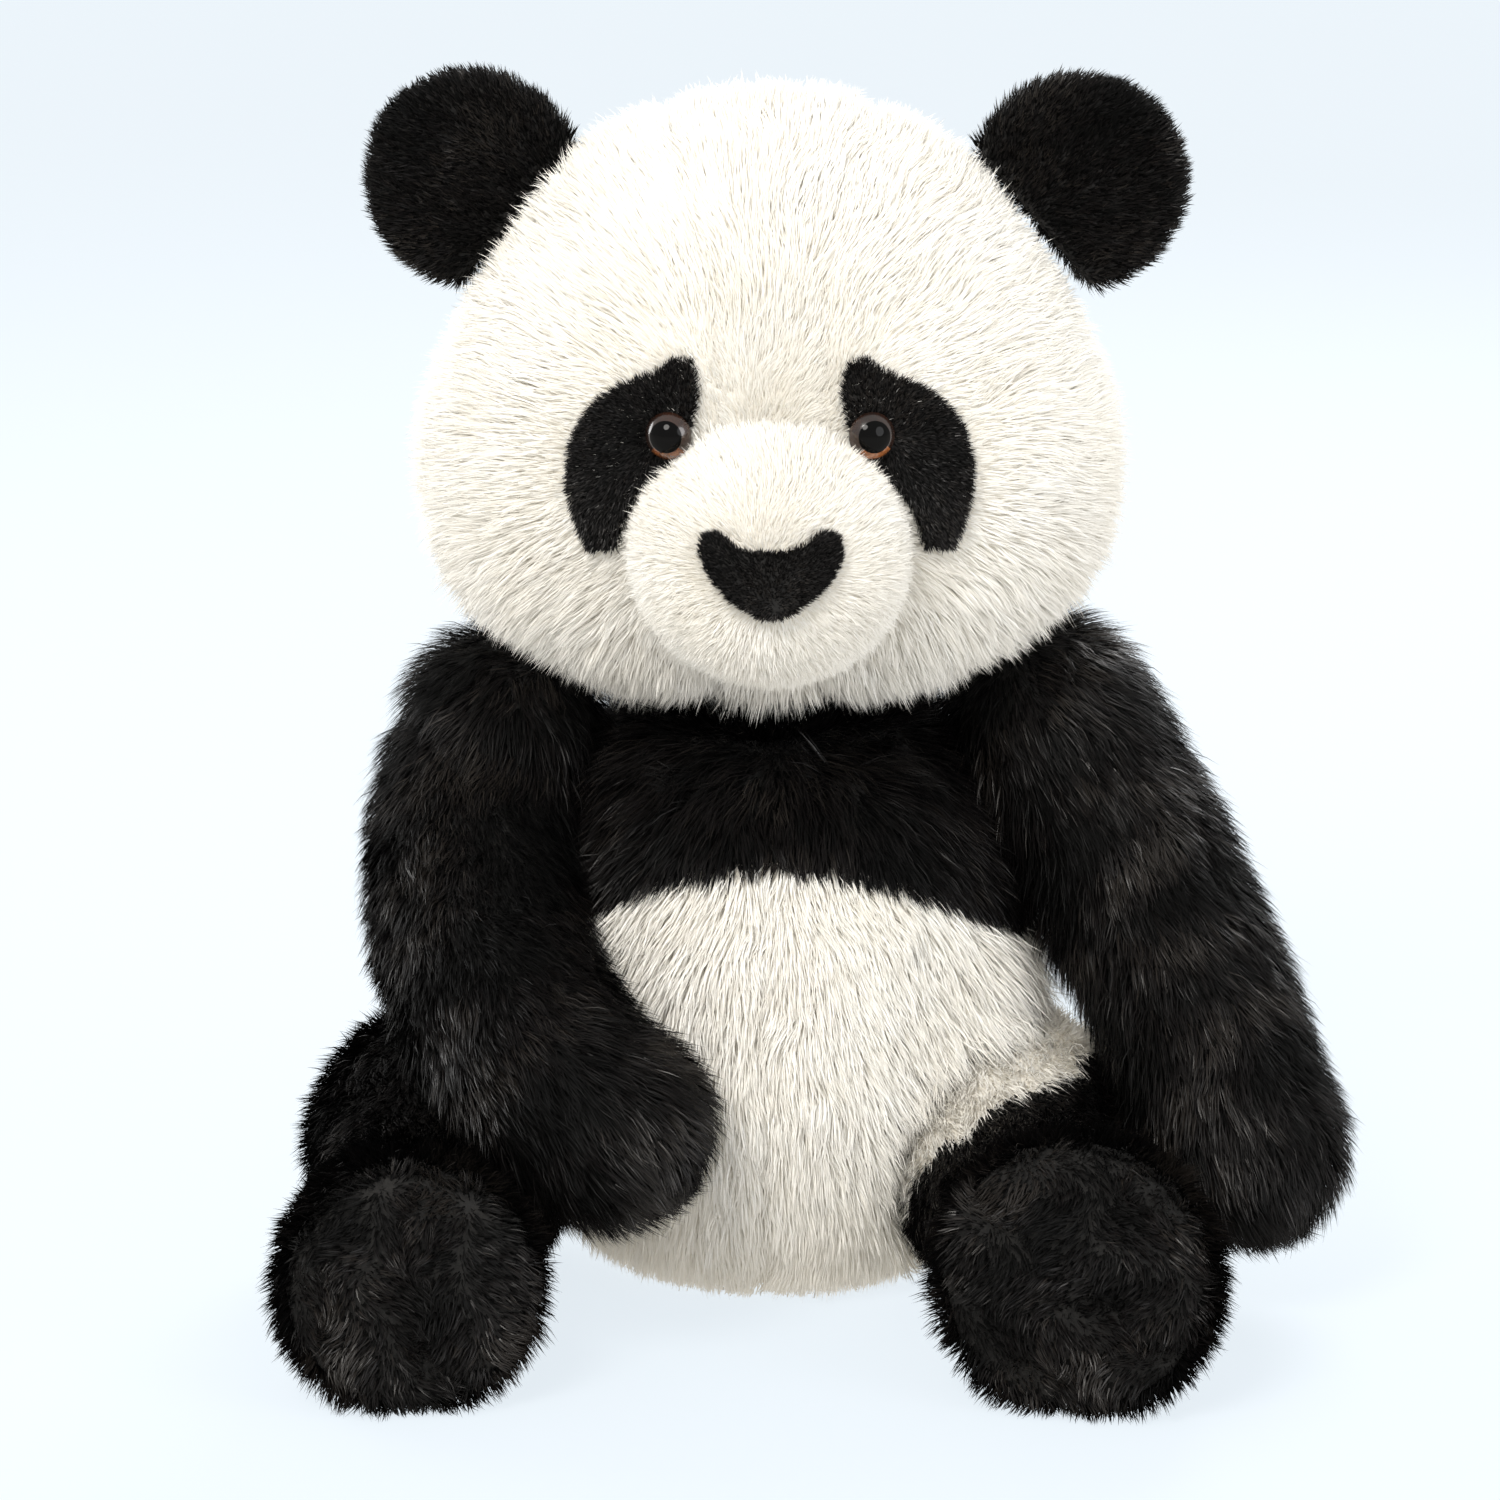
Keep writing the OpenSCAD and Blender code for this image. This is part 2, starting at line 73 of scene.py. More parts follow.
def unit(v):
    return v / np.maximum(np.linalg.norm(v, axis=-1, keepdims=True), 1e-12)


def smooth(t):
    t = np.clip(t, 0, 1)
    return t * t * (3 - 2 * t)


def mix(a, b, t):
    return a + (b - a) * t


def along_surface(v, normals):
    return unit(v - np.sum(v * normals, axis=1, keepdims=True) * normals)


def centre(*names):
    corners = np.array([[list(c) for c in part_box(n)] for n in names])
    return (corners[:, 0].min(0) + corners[:, 1].max(0)) / 2


def wander(points, size, seed):
    """A smooth random vector at each point, whose swirls are about as big as size."""
    rng = np.random.default_rng(seed)
    total = np.zeros_like(points)
    for octave in (1.0, 1.9):
        for _ in range(5):
            way = unit(rng.normal(size=3)) * 2 * math.pi / size * octave
            total += np.sin(points @ way + rng.uniform(0, 6.28))[:, None] * unit(rng.normal(size=3)) / octave
    return total / 2.2


# ---- Camera, light and floor ----

scene = bpy.context.scene
scene.view_settings.view_transform = "Standard"
scene.view_settings.look = "None"

camera = bpy.data.objects.new("camera", bpy.data.cameras.new("camera"))
scene.collection.objects.link(camera)
LOOK_AT = Vector((-0.005, -0.020, 0.143))
CAMERA_AWAY = 1.4
CAMERA_RISE = math.radians(14)
camera.location = LOOK_AT + CAMERA_AWAY * Vector((0, -math.cos(CAMERA_RISE), math.sin(CAMERA_RISE)))
camera.rotation_euler = (math.pi / 2 - CAMERA_RISE, 0, 0)
camera.data.sensor_width = 36
camera.data.lens = 127
scene.camera = camera


LIT_POINT = Vector((0, 0, 0.15))
PALE_BLUE = (0.863, 0.939, 1.0, 1)


def softbox(name, place, size, watts, colour):
    light = bpy.data.objects.new(name, bpy.data.lights.new(name, "AREA"))
    light.data.shape = "DISK"
    light.data.size = size
    light.data.energy = watts
    light.data.color = colour
    light.location = place
    light.rotation_euler = (LIT_POINT - Vector(place)).to_track_quat("-Z", "Y").to_euler()
    scene.collection.objects.link(light)


softbox("key_light", (-0.55, -1.25, 1.35), 0.7, 23, (1.0, 0.97, 0.92))
softbox("fill_light", (1.1, -1.0, 0.7), 1.0, 9, (0.97, 0.98, 1.0))
softbox("rim_light", (0.5, 1.2, 1.1), 0.8, 14, (1.0, 1.0, 1.0))
softbox("rim_light_low", (-1.2, 0.6, 0.5), 0.8, 8, (1.0, 1.0, 1.0))

world = bpy.data.worlds.new("studio")
scene.world = world
world.use_nodes = True
sky = world.node_tree.nodes["Background"]
sky.inputs["Color"].default_value = (1.0, 0.985, 0.955, 1)
sky.inputs["Strength"].default_value = 0.62
seen_sky = world.node_tree.nodes.new("ShaderNodeBackground")
seen_sky.inputs["Color"].default_value = PALE_BLUE
ray = world.node_tree.nodes.new("ShaderNodeLightPath")
pick = world.node_tree.nodes.new("ShaderNodeMixShader")
for output, socket in (
    (ray.outputs["Is Camera Ray"], pick.inputs[0]),
    (sky.outputs[0], pick.inputs[1]),
    (seen_sky.outputs[0], pick.inputs[2]),
    (pick.outputs[0], world.node_tree.nodes["World Output"].inputs["Surface"]),
):
    world.node_tree.links.new(output, socket)


# ---- Materials ----

def plain(name, colour, roughness, **sockets):
    made = bpy.data.materials.new(name)
    made.use_nodes = True
    shader = made.node_tree.nodes["Principled BSDF"]
    shader.inputs["Base Color"].default_value = (*colour, 1)
    shader.inputs["Roughness"].default_value = roughness
    for socket, value in sockets.items():
        shader.inputs[socket.replace("_", " ")].default_value = value
    return made


PATCH_GRAINS = 18


def patterned(name, dark, light, roughness, grain, bump, **sockets):
    """A cloth whose colour and height follow a fine grain of this size, with broad soft patches over it."""
    made = plain(name, light, roughness, **sockets)
    tree = made.node_tree
    shader = tree.nodes["Principled BSDF"]
    place = tree.nodes.new("ShaderNodeTexCoord")
    fine = tree.nodes.new("ShaderNodeTexNoise")
    fine.inputs["Scale"].default_value = 1 / grain
    fine.inputs["Detail"].default_value = 3
    broad = tree.nodes.new("ShaderNodeTexNoise")
    broad.inputs["Scale"].default_value = 1 / (grain * PATCH_GRAINS)
    blend = tree.nodes.new("ShaderNodeMath")
    blend.operation = "MULTIPLY"
    ramp = tree.nodes.new("ShaderNodeValToRGB")
    ramp.color_ramp.elements[0].color = (*dark, 1)
    ramp.color_ramp.elements[0].position = 0.12
    ramp.color_ramp.elements[1].color = (*light, 1)
    ramp.color_ramp.elements[1].position = 0.38
    height = tree.nodes.new("ShaderNodeBump")
    height.inputs["Strength"].default_value = bump
    height.inputs["Distance"].default_value = grain
    for texture in (fine, broad):
        tree.links.new(place.outputs["Object"], texture.inputs["Vector"])
    tree.links.new(fine.outputs["Fac"], blend.inputs[0])
    tree.links.new(broad.outputs["Fac"], blend.inputs[1])
    tree.links.new(blend.outputs[0], ramp.inputs[0])
    tree.links.new(ramp.outputs[0], shader.inputs["Base Color"])
    tree.links.new(fine.outputs["Fac"], height.inputs["Height"])
    tree.links.new(height.outputs[0], shader.inputs["Normal"])
    return made


WHITE_CLOTH = patterned("white_backing", (0.80, 0.76, 0.68), (0.93, 0.90, 0.84), 0.9, 1.2 * MM, 0.5)
BLACK_CLOTH = patterned("black_backing", (0.004, 0.004, 0.004), (0.012, 0.011, 0.010), 0.9, 1.2 * MM, 0.5)
FIBRE = patterned("fibre_filling", (0.75, 0.75, 0.74), (0.93, 0.93, 0.92), 0.95, 2.5 * MM, 1.0)
LINING = patterned("lining_cloth", (0.55, 0.52, 0.46), (0.78, 0.74, 0.68), 0.85, 0.8 * MM, 0.6)
THREAD = patterned("thread", (0.70, 0.67, 0.60), (0.90, 0.88, 0.82), 0.7, 0.3 * MM, 0.4)
WASHER = patterned("washer_plastic", (0.80, 0.80, 0.80), (0.90, 0.90, 0.89), 0.35, 2 * MM, 0.08)
FLOOR = plain("floor", (0.11, 0.12, 0.13), 0.9, Emission_Strength=0.85)

# The floor looks pale blue, and lights the toy a little warmer than that.
tint = FLOOR.node_tree.nodes.new("ShaderNodeMix")
tint.data_type = "RGBA"
tint.inputs["A"].default_value = (0.80, 0.77, 0.71, 1)
tint.inputs["B"].default_value = PALE_BLUE
seen = FLOOR.node_tree.nodes.new("ShaderNodeLightPath")
glow = FLOOR.node_tree.nodes["Principled BSDF"].inputs["Emission Color"]
FLOOR.node_tree.links.new(seen.outputs["Is Camera Ray"], tint.inputs["Factor"])
FLOOR.node_tree.links.new(tint.outputs["Result"], glow)

# A tuft's faces run from its root to its tip, and take one of several shades. In both piles the first, darker root
# shade is painted shade, standing for the shade deep in the pile.
WHITE_PILE = [
    plain("white_pile_painted_root_shade", (0.93, 0.90, 0.83), 0.8),
    plain("white_pile_cream", (0.94, 0.915, 0.855), 0.7),
    plain("white_pile_ivory", (0.96, 0.94, 0.89), 0.65),
    plain("white_pile_bright", (0.975, 0.965, 0.93), 0.6),
]
BLACK_PILE = [
    plain("black_pile_painted_root_shade", (0.003, 0.003, 0.003), 0.8, Specular_IOR_Level=0.1),
    plain("black_pile_jet", (0.004, 0.004, 0.004), 0.5, Specular_IOR_Level=0.12),
    plain("black_pile_soot", (0.007, 0.006, 0.006), 0.42, Specular_IOR_Level=0.2),
    # The lightest black shade is partly a brown-black tone and partly painted sheen, drawn as streaks of light on
    # the pile.
    plain("black_pile_painted_sheen_brown", (0.018, 0.015, 0.013), 0.38, Specular_IOR_Level=0.38),
]

FLOOR_HALF = 9
floor = bpy.data.objects.new("floor", bpy.data.meshes.new("floor"))
floor.data.from_pydata(
    [(x * FLOOR_HALF, y * FLOOR_HALF, 0) for x, y in ((-1, -1), (1, -1), (1, 1), (-1, 1))], [], [(0, 1, 2, 3)])
floor.data.materials.append(FLOOR)
scene.collection.objects.link(floor)


# ---- Making meshes ----

def new_piece(name, points, faces, materials, shades=None):
    """faces is a list of index lists, or an array with one face a row."""
    mesh = bpy.data.meshes.new(name)
    mesh.from_pydata([tuple(p) for p in points], [], [list(f) for f in faces])
    for material in materials:
        mesh.materials.append(material)
    if shades is not None:
        mesh.polygons.foreach_set("material_index", np.asarray(shades, np.int32))
    mesh.polygons.foreach_set("use_smooth", np.ones(len(mesh.polygons), bool))
    mesh.update()
    piece = bpy.data.objects.new(name, mesh)
    scene.collection.objects.link(piece)
    return piece


def arrays_of(mesh):
    points = np.zeros(len(mesh.vertices) * 3)
    mesh.vertices.foreach_get("co", points)
    return points.reshape(-1, 3), [list(p.vertices) for p in mesh.polygons]


def remeshed(names, voxel):
    """The outer skin of several CAD nodes together, as one closed even mesh of quads."""
    form = bmesh.new()
    for name in names:
        form.from_mesh(NODES[name].data)
    bmesh.ops.remove_doubles(form, verts=form.verts, dist=1e-6)
    mesh = bpy.data.meshes.new("form")
    form.to_mesh(mesh)
    form.free()
    holder = bpy.data.objects.new("form", mesh)
    scene.collection.objects.link(holder)
    modifier = holder.modifiers.new("remesh", "REMESH")
    modifier.mode = "VOXEL"
    modifier.voxel_size = voxel
    even = bpy.data.meshes.new_from_object(holder.evaluated_get(bpy.context.evaluated_depsgraph_get()))
    bpy.data.objects.remove(holder)
    points, faces = arrays_of(even)
    return largest_part(points, faces)


def largest_part(points, faces):
    """Drops any small closed hollow that the remesh left inside."""
    group = np.arange(len(points))
    faces = np.array([f if len(f) == 4 else [*f, f[-1]] for f in faces])
    while True:
        lowest = group[faces].min(1)
        before = group.copy()
        for k in range(4):
            np.minimum.at(group, faces[:, k], lowest)
        if np.array_equal(before, group):
            break
    names, counts = np.unique(group, return_counts=True)
    keep = group == names[counts.argmax()]
    index = np.cumsum(keep) - 1
    return points[keep], index[faces[keep[faces[:, 0]]]]


class Skin:
    """An even closed mesh of quads that the pile grows on."""

    def __init__(self, names, voxel, relax):
        self.points, self.faces = remeshed(names, voxel)
        pairs = np.concatenate([self.faces[:, [k, (k + 1) % 4]] for k in range(4)])
        self.edges = np.unique(np.sort(pairs, axis=1), axis=0)
        self.edges = self.edges[self.edges[:, 0] != self.edges[:, 1]]
        self.degree = np.zeros(len(self.points))
        for k in (0, 1):
            np.add.at(self.degree, self.edges[:, k], 1)
        # Smooths, then swells a little more than it shrank, so that the form keeps its size.
        for _ in range(relax):
            self.points += 0.5 * self.pull(self.points)
            self.points -= 0.52 * self.pull(self.points)

    def pull(self, values):
        """From each point's value to the mean of its neighbours'."""
        total = np.zeros_like(values)
        np.add.at(total, self.edges[:, 0], values[self.edges[:, 1]])
        np.add.at(total, self.edges[:, 1], values[self.edges[:, 0]])
        share = self.degree if values.ndim == 1 else self.degree[:, None]
        return total / np.maximum(share, 1) - values

    def normals(self):
        a, b, c, d = (self.points[self.faces[:, k]] for k in range(4))
        across = np.cross(c - a, d - b)
        total = np.zeros_like(self.points)
        for k in range(4):
            np.add.at(total, self.faces[:, k], across)
        return unit(total)

    def label(self, panels):
        """Gives each face the panel nearest to it."""
        trees = [BVHTree.FromPolygons(*arrays_of(NODES[n].data)) for n in panels]
        middles = self.points[self.faces].mean(1)
        far = np.array([[tree.find_nearest(m)[3] for tree in trees] for m in middles])
        self.panels = panels
        self.labels = far.argmin(1)
        touching = [set() for _ in self.points]
        for face, label in zip(self.faces, self.labels):
            for v in face:
                touching[v].add(label)
        self.seam = np.array([len(t) > 1 for t in touching], float)
        for _ in range(2):
            self.seam = np.maximum(self.seam, self.seam + 0.6 * self.pull(self.seam))

    def surface(self):
        """What near() needs to say how far a point is outside this skin."""
        tree = BVHTree.FromPolygons(self.points.tolist(), self.faces.tolist())
        return tree, unit(self.normals()[self.faces].mean(1)), self.points.min(0), self.points.max(0)


# ---- Pile ----

class Roots:
    """Places on a skin where tufts grow."""

    def __init__(self, skin, per_mm2, seed):
        self.rng = np.random.default_rng(seed)
        a, b, c, d = (skin.points[skin.faces[:, k]] for k in range(4))
        area = np.linalg.norm(np.cross(c - a, d - b), axis=1) / 2
        count = int(area.sum() * per_mm2 * 1e6)
        edge = np.cumsum(area) / area.sum()
        face = np.searchsorted(edge, (np.arange(count) + self.rng.random(count)) / count).clip(0, len(area) - 1)
        u, v = self.rng.random((2, count, 1))
        corners = skin.faces[face]
        normals = skin.normals()

        def spread(values):
            p, q, r, s = (values[corners[:, k]] for k in range(4))
            return mix(mix(p, q, u), mix(s, r, u), v)

        self.at = spread(skin.points)
        self.normal = unit(spread(normals))
        self.seam = spread(skin.seam[:, None])[:, 0]
        self.label = skin.labels[face]

    def keep(self, which):
        for key in ("at", "normal", "seam", "label"):
            setattr(self, key, getattr(self, key)[which])


def near(points, surface, reach):
    """How far each point is outside a skin, with the skin's place and normal there. 1 where out of reach."""
    tree, normals, low, high = surface
    away = np.full(len(points), 1.0)
    place = np.zeros_like(points)
    facing = np.zeros_like(points)
    for i, p in enumerate(points):
        hit, _, face, distance = tree.find_nearest(p, reach)
        if hit is not None:
            place[i], facing[i] = hit, normals[face]
            away[i] = -distance if is_within(Vector(p), tree, low, high) else distance
    return away, place, facing


def is_within(p, tree, low, high):
    """True when a line from p crosses the closed skin an odd number of times."""
    if any(p[k] < low[k] or p[k] > high[k] for k in range(3)):
        return False
    way = Vector((0.36, -0.48, 0.8))
    crossings = 0
    while True:
        hit = tree.ray_cast(p, way)[0]
        if hit is None:
            return crossings % 2 == 1
        crossings += 1
        p = hit + way * 0.01 * MM


# A tuft's turns are shares of a unit vector, and its widths go from the root up.
ROOT_DEPTH = 0.3 * MM
BROAD_SWIRL, FINE_SWIRL = 0.30, 0.22
BEND = 0.30
SHORTER_AT_SEAM = 0.35
TUFT_WIDTHS = [0.8, 1.0, 0.62]
OBSTACLE_REACH, LEAST_CLEAR = 12 * MM, 0.5 * MM


def clumped(path, size, pull, rng):
    """Draws the tips of neighbouring tufts together, about size tufts to a clump, and returns each one's leader."""
    count = max(1, int(len(path[0]) / size))
    heads = rng.choice(len(path[0]), count, replace=False)
    tree = KDTree(count)
    for i, h in enumerate(heads):
        tree.insert(path[0][h], i)
    tree.balance()
    leader = heads[[tree.find(p)[1] for p in path[0]]]
    strength = np.reshape(pull, (-1, 1)) * rng.uniform(0.5, 1.3, (len(leader), 1))
    for k in range(len(path) - 1, 0, -1):
        share = strength * (k / (len(path) - 1)) ** 1.4
        path[k] = path[k] + (path[k][leader] - path[k]) * np.clip(share, 0, 0.85)
    return leader


def grow(roots, nap, length, lift, width, segments, clump, pull, sag, obstacles, frizz=0.16):
    """Builds the path of each tuft, and returns its corners and its leader.
    obstacles are skins that the tufts stay outside."""
    rng = roots.rng
    count = len(roots.at)
    swirl = BROAD_SWIRL * wander(roots.at, 28 * MM, 5), FINE_SWIRL * wander(roots.at, 9 * MM, 6)
    flow = along_surface(nap + swirl[0] + swirl[1], roots.normal)
    rising = lift * rng.uniform(0.75, 1.25, (count, 1))
    way = unit(flow * np.cos(rising) + roots.normal * np.sin(rising) + rng.normal(size=(count, 3)) * frizz)
    length = length * rng.uniform(0.72, 1.12, count) * (1 - SHORTER_AT_SEAM * roots.seam)
    step = (length / segments)[:, None]
    path = [roots.at - roots.normal * ROOT_DEPTH]
    for k in range(segments):
        bend = flow * BEND + np.array([0, 0, -sag]) + rng.normal(size=(count, 3)) * frizz * 0.8
        way = unit(way + bend * (k + 0.3) / segments)
        path.append(path[-1] + way * step)
    leader = clumped(path, clump, pull, rng)
    for surface in obstacles:
        for k in range(1, segments + 1):
            p = path[k]
            close = np.flatnonzero(np.all((p > surface[2] - 1 * MM) & (p < surface[3] + 1 * MM), axis=1))
            away, place, out = near(p[close], surface, OBSTACLE_REACH)
            hit = away < LEAST_CLEAR
            p[close[hit]] = place[hit] + out[hit] * 0.7 * MM
    for k in range(1, segments + 1):
        path[k][:, 2] = np.maximum(path[k][:, 2], FLOOR_GAP + rng.uniform(0, 1.2 * MM, count))
    path[0][:, 2] = np.maximum(path[0][:, 2], FLOOR_GAP)
    facing = unit(roots.normal + rng.normal(size=(count, 3)) * 0.28)
    side = unit(np.cross(way, facing)) * (width * rng.uniform(0.7, 1.25, count))[:, None] / 2
    pairs = [(path[k] - side * TUFT_WIDTHS[k], path[k] + side * TUFT_WIDTHS[k]) for k in range(segments)]
    return np.stack([q for pair in pairs for q in pair] + [path[segments]], axis=1), leader


def pile_pieces(panels, roots, points, leader, segments, materials, streak):
    """One mesh of tufts for each panel. Each face of a tuft but its first has the tuft's own shade, which
    varies in patches, by streak, and from tuft to tuft. The first mostly takes the darker root colour, which is
    painted shade deep in the pile."""
    rng = roots.rng
    # In the black pile, patches of the lightest shade are painted sheen streaks.
    tone = wander(roots.at, 40 * MM, 11)[:, 0] * streak + rng.normal(size=len(roots.at)) * 0.35
    tone = 0.5 * tone + 0.5 * tone[leader]
    shade = np.digitize(tone, [-0.15, 0.42]) + 1
    each = 2 * segments + 1
    corners = [[2 * k, 2 * k + 1, 2 * k + 3, 2 * k + 2] for k in range(segments - 1)]
    corners.append([2 * segments - 2, 2 * segments - 1, 2 * segments])
    sizes = [len(c) for c in corners]
    made = {}
    for i, panel in enumerate(panels):
        mine = np.flatnonzero(roots.label == i)
        if not len(mine):
            continue
        start = np.arange(len(mine))[:, None] * each
        rows = np.concatenate([start + np.array(c) for c in corners], axis=1)
        mesh = bpy.data.meshes.new(f"{panel}_pile")
        mesh.vertices.add(len(mine) * each)
        mesh.vertices.foreach_set("co", points[mine].astype(np.float32).ravel())
        mesh.loops.add(rows.size)
        mesh.loops.foreach_set("vertex_index", rows.astype(np.int32).ravel())
        mesh.polygons.add(len(mine) * segments)
        starts = np.concatenate([[0], np.cumsum(np.tile(sizes, len(mine)))[:-1]])
        mesh.polygons.foreach_set("loop_start", starts.astype(np.int32))
        tones = np.repeat(shade[mine][:, None], segments, axis=1)
        # The root face mostly takes material 0, the painted root shade.
        tones[:, 0] = np.where(rng.random(len(mine)) < 0.75, 0, 1)
        mesh.polygons.foreach_set("material_index", tones.astype(np.int32).ravel())
        mesh.polygons.foreach_set("use_smooth", np.ones(len(mine) * segments, bool))
        mesh.update(calc_edges=True)
        for material in materials[panel]:
            mesh.materials.append(material)
        piece = bpy.data.objects.new(mesh.name, mesh)
        scene.collection.objects.link(piece)
        made[panel] = piece
    return made


def cloth_pieces(skin, material_of, body, thick=0.9 * MM):
    """The backing cloth, cut into its panels. Each is a closed thin shell that stands for its CAD node."""
    normals = skin.normals()
    for i, panel in enumerate(skin.panels):
        mine = skin.faces[skin.labels == i]
        if not len(mine):
            raise SystemExit(f"no face of the skin lies on {panel}")
        used, faces = np.unique(mine, return_inverse=True)
        faces = faces.reshape(mine.shape)
        count = len(used)
        outer = skin.points[used]
        inner = outer - normals[used] * thick
        directed = np.concatenate([faces[:, [k, (k + 1) % 4]] for k in range(4)])
        directed = directed[directed[:, 0] != directed[:, 1]]
        there = set(map(tuple, directed))
        rim = [[a, a + count, b + count, b] for a, b in there if (b, a) not in there]
        quads = [list(dict.fromkeys(f)) for f in faces.tolist()]
        back = [[v + count for v in reversed(f)] for f in quads]
        points = np.concatenate([outer, inner])
        piece = new_piece(f"{panel}_cloth", points, quads + back + rim, [material_of(panel)])
        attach(piece, body)
        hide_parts(panel)


SLOTS = {row["node"]: row["material_slot"] for row in frame["record"]["subparts"]}


def slot_of(node):
    return SLOTS[node]


def cloth_of(node):
    return WHITE_CLOTH if "white" in SLOTS[node] else BLACK_CLOTH


def pile_of(node):
    return WHITE_PILE if "white" in SLOTS[node] else BLACK_PILE


LUMP_WIDTH, LUMP_DEPTH = 26 * MM, 0.9 * MM
THICK_ENOUGH = 30 * MM
THIN_SHARE = 0.22
CLOTH_FLOOR = 0.8 * MM


def sunk(skin, depth, under, groove):
    """Sets the cloth in by depth, or by under where it faces down, with low lumps and a groove along each seam.
    A thin form is set in by no more than a share of its thickness, so its two sides can't cross."""
    normals = skin.normals()
    down = smooth((-normals[:, 2] - 0.45) / 0.4)
    lumps = np.array([noise.noise(Vector(p) / LUMP_WIDTH) for p in skin.points])
    inward = mix(depth, under, down) + groove * np.clip(skin.seam, 0, 1) + LUMP_DEPTH * lumps
    tree = BVHTree.FromPolygons(skin.points.tolist(), skin.faces.tolist())
    start = skin.points - normals * 0.05 * MM
    behind = np.array([tree.ray_cast(a, b, THICK_ENOUGH)[3] or 0.0 for a, b in zip(start, -normals)])
    inward = np.minimum(inward, THIN_SHARE * np.where(behind > 0, behind, THICK_ENOUGH))
    skin.points = skin.points - normals * inward[:, None]
    skin.points[:, 2] = np.maximum(skin.points[:, 2], CLOTH_FLOOR)


# ---- The stuffed forms ----

HEAD = ["head_gusset", "chin_gusset", "face_left", "face_right", "head_back_left", "head_back_right"]
TORSO = [f"{p}_{s}" for p in ("chest_band", "back_band", "belly_panel", "back_panel") for s in ("left", "right")]
TORSO.append("seat_panel")

# Each form's body, panels and filling, the skin's voxel size, and how far the cloth is set in, and underneath.
FORMS = {
    "head": ("head", HEAD, ["head_stuffing"], 3.0 * MM, 0.5 * MM, 0.5 * MM),
    "torso": ("torso", TORSO, ["torso_stuffing", "seat_pellet_bag"], 3.0 * MM, 1.0 * MM, 0.8 * MM),
    "muzzle": ("head", ["muzzle_cover"], ["muzzle_stuffing"], 2.0 * MM, 1.6 * MM, 1.6 * MM),
    "tail": ("torso", ["tail"], [], 1.8 * MM, 2.5 * MM, 2.5 * MM),
}
for s in ("left", "right"):
    FORMS[f"arm_{s}"] = (
        f"arm_{s}", [f"arm_outer_{s}", f"arm_inner_{s}"],
        [f"arm_stuffing_{s}", f"paw_pellet_bag_{s}"], 2.6 * MM, 0.6 * MM, 0.6 * MM)
    FORMS[f"leg_{s}"] = (
        f"leg_{s}", [f"leg_outer_{s}", f"leg_inner_{s}", f"sole_{s}"],
        [f"leg_stuffing_{s}", f"foot_pellet_bag_{s}"], 2.6 * MM, 0.8 * MM, 0.8 * MM)
    FORMS[f"ear_{s}"] = (
        f"ear_{s}", [f"ear_front_{s}", f"ear_back_{s}"], [], 1.6 * MM, 0.8 * MM, 0.8 * MM)
    FORMS[f"eye_patch_{s}"] = ("head", [f"eye_patch_{s}"], [], 0.9 * MM, 0.8 * MM, 0.8 * MM)
FORMS["nose_patch"] = ("head", ["nose_patch"], [], 0.8 * MM, 0.5 * MM, 0.5 * MM)

SEAM_GROOVE = 1.2 * MM
skins, surfaces = {}, {}
for name, (body, panels, inside, voxel, depth, under) in FORMS.items():
    skin = Skin(panels + inside, voxel, 6)
    skin.label(panels)
    sunk(skin, depth, under, SEAM_GROOVE if len(panels) > 1 else 0)
    skins[name] = skin
    surfaces[name] = skin.surface()
    cloth_pieces(skin, cloth_of, body)


def white_thigh(points, normals):
    """Marks where the belly's white runs on over the top of the left thigh."""
    width_below, width_on_top = 7 * MM, 31 * MM
    away = near(points, surfaces["torso"], 40 * MM)[0]
    higher = smooth((points[:, 2] - 0.03) / 0.045)
    ragged = 2 * MM * wander(points, 12 * MM, 9)[:, 0]
    front_or_top = normals[:, 2] - normals[:, 1] > -0.1
    return (away < mix(width_below, width_on_top, higher) + ragged) & front_or_top


for panel in ("leg_outer_left", "leg_inner_left"):
    cloth = bpy.data.objects[f"{panel}_cloth"].data
    middles = np.array([list(f.center) for f in cloth.polygons])
    facing = np.array([list(f.normal) for f in cloth.polygons])
    cloth.materials.append(WHITE_CLOTH)
    cloth.polygons.foreach_set("material_index", white_thigh(middles, facing).astype(np.int32))


def blockers(*names):
    return [surfaces[n] for n in names]


def bare_under(roots, names, reach, look=24 * MM):
    """Drops the roots inside or within reach of the named skins, and returns each kept root's distance to them,
    no more than look."""
    least = np.full(len(roots.at), look)
    for surface in blockers(*names):
        close = np.flatnonzero(np.all((roots.at > surface[2] - look) & (roots.at < surface[3] + look), axis=1))
        least[close] = np.minimum(least[close], near(roots.at[close], surface, look)[0])
    kept = least > reach
    roots.keep(kept)
    return least[kept]


def bezier(p, t):
    t = np.asarray(t)[:, None]
    return (1 - t) ** 3 * p[0] + 3 * t * (1 - t) ** 2 * p[1] + 3 * t * t * (1 - t) * p[2] + t ** 3 * p[3]


# The middle line of each limb in millimetres, from its joint to its end, as in the CAD.
LIMBS = {
    "arm_left": [(74, -8, 150), (94, -10, 120), (108, -34, 90), (125, -52, 45)],
    "arm_right": [(-71, -8, 147), (-84, -12, 112), (-82, -84, 92), (-42, -92, 63)],
    "leg_left": [(63, -24, 37), (62, -62, 34), (82, -104, 31), (76, -130, 35)],
    "leg_right": [(-86, -26, 37), (-88, -60, 34), (-94, -96, 30), (-90, -130, 32)],
}


